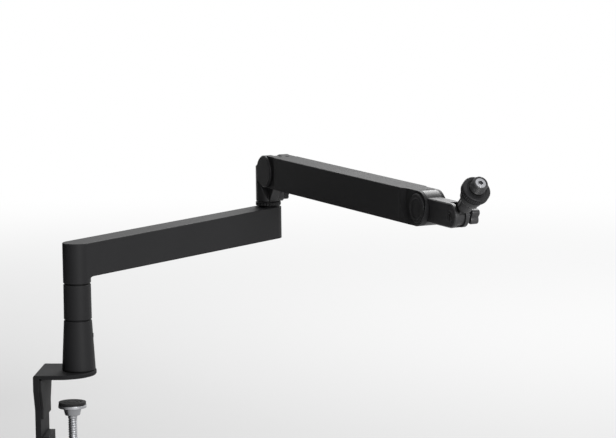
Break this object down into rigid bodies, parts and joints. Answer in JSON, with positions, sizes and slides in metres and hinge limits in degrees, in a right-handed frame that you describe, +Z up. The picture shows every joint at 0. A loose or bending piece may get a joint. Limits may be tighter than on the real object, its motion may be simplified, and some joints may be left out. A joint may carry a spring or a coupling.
{
  "type": "microphone boom arm",
  "caption": "Low profile desk-clamped boom arm with two cable-channel beams, swivel column and elbow, tilting upper beam and a folding head with a microphone thread.",
  "frame": {"origin": "on the column's axis, at the top surface of the desk that the arm is clamped to (underside of the top plate's pad)", "axes": "+Z up; the desk's edge runs along Y, with the desk on the +X side of the clamp; the lower beam points to +X +Y at rest"},
  "size_m": [0.4812, 0.4559, 0.3581],
  "materials": {
    "black_coated_steel": "matt black powder coat",
    "black_aluminium": "fine matt black coat",
    "black_casting": "satin black paint",
    "black_plastic": "matt moulded",
    "bearing_plastic": "black, smooth",
    "dark_rubber": "matt",
    "bright_steel": "zinc plated",
    "black_screw_steel": "black oxide"
  },
  "bodies": {
    "clamp_and_column": {"clamp_frame": "black_coated_steel", "top_pad": "dark_rubber", "flange_pad": "dark_rubber", "clamp_jaw": "black_coated_steel", "jaw_bolts": "black_screw_steel", "base_socket": "black_aluminium", "socket_screws": "black_screw_steel", "socket_set_screw": "black_screw_steel", "riser": "black_aluminium", "riser_set_screw": "black_screw_steel", "riser_bush": "bearing_plastic", "thrust_washer": "bearing_plastic"},
    "clamp_shoe": {"pressure_plate": "bright_steel", "pressure_pad": "dark_rubber"},
    "clamp_spindle": {"clamp_screw": "bright_steel", "clamp_knob": "black_plastic"},
    "lower_arm": {"lower_arm_shell": "black_aluminium", "lower_magnet_bridges": "black_plastic", "lower_magnets": "bright_steel", "swivel_pin": "bright_steel", "elbow_bush": "bearing_plastic"},
    "lower_cover": {"lower_arm_cover": "black_coated_steel"},
    "elbow": {"elbow_yoke": "black_casting", "elbow_pivot": "bright_steel", "elbow_nut": "bright_steel", "elbow_collar": "black_plastic", "tilt_bush": "bearing_plastic", "friction_discs": "bright_steel"},
    "swivel_lock": {"swivel_screw": "bright_steel", "swivel_knob": "black_plastic"},
    "upper_arm": {"upper_arm_root": "black_casting", "tilt_bolt": "bright_steel", "tilt_nut": "bright_steel", "tilt_caps": "black_plastic", "tension_screws": "black_screw_steel", "brake_shoe": "bearing_plastic", "upper_arm_tube": "black_aluminium", "upper_magnet_bridges": "black_plastic", "upper_magnets": "bright_steel", "upper_arm_end": "black_casting", "end_discs": "black_plastic", "wrist_axle": "bright_steel"},
    "upper_cover": {"upper_arm_cover": "black_coated_steel"},
    "wrist": {"wrist_link": "black_casting", "wrist_bush": "bearing_plastic", "head_bolt": "black_screw_steel", "head_washer": "bright_steel"},
    "wrist_lock": {"head_knob": "black_plastic"},
    "head": {"head_bracket": "black_casting", "head_spindle": "bright_steel"},
    "thread_ring": {"thread_collar": "black_screw_steel", "lock_ring": "black_plastic"}
  },
  "joints": [
    {"name": "clamp_shoe_slide", "type": "slide", "parent": "clamp_and_column", "child": "clamp_shoe", "axis": [0, 0, 1], "range_m": [-0.0275, 0.02]},
    {"name": "clamp_knob_turn", "type": "hinge", "parent": "clamp_shoe", "child": "clamp_spindle", "pos_m": [-0.008, 0, -0.114], "axis": [0, 0, 1], "range_deg": [-3965, 2885]},
    {"name": "column_swivel", "type": "hinge", "parent": "clamp_and_column", "child": "lower_arm", "pos_m": [0, 0, 0.09776], "axis": [0, 0, 1], "continuous": true},
    {"name": "lower_cover_release", "type": "slide", "parent": "lower_arm", "child": "lower_cover", "axis": [0, 0, -1], "range_m": [0, 0.03]},
    {"name": "elbow_swivel", "type": "hinge", "parent": "lower_arm", "child": "elbow", "pos_m": [0.17803, 0.28602, 0.1407], "axis": [0, 0, 1], "continuous": true},
    {"name": "swivel_lock_turn", "type": "hinge", "parent": "elbow", "child": "swivel_lock", "pos_m": [0.19425, 0.28669, 0.1545], "axis": [0.8669, 0.4985, 0], "range_deg": [-180, 90]},
    {"name": "upper_arm_tilt", "type": "hinge", "parent": "elbow", "child": "upper_arm", "pos_m": [0.1889, 0.26712, 0.1837], "axis": [-0.8669, -0.4985, 0], "range_deg": [-45, 75]},
    {"name": "upper_cover_release", "type": "slide", "parent": "upper_arm", "child": "upper_cover", "axis": [0, 0, -1], "range_m": [0, 0.03]},
    {"name": "wrist_tilt", "type": "hinge", "parent": "upper_arm", "child": "wrist", "pos_m": [0.37284, -0.05276, 0.1837], "axis": [-0.8669, -0.4985, 0], "range_deg": [-55, 55]},
    {"name": "wrist_lock_turn", "type": "hinge", "parent": "wrist", "child": "wrist_lock", "pos_m": [0.41375, -0.09984, 0.183], "axis": [0.8669, 0.4985, 0], "range_deg": [-180, 90]},
    {"name": "head_tilt", "type": "hinge", "parent": "wrist", "child": "head", "pos_m": [0.40335, -0.10582, 0.183], "axis": [-0.8669, -0.4985, 0], "range_deg": [-50, 35]},
    {"name": "thread_ring_turn", "type": "hinge", "parent": "head", "child": "thread_ring", "pos_m": [0.42264, -0.13937, 0.21156], "axis": [0.3819, -0.6641, 0.6428], "continuous": true}
  ],
  "couplings": [
    {"joint": "clamp_knob_turn", "follows": "clamp_shoe_slide", "rad_per_m": 2513.3}
  ]
}
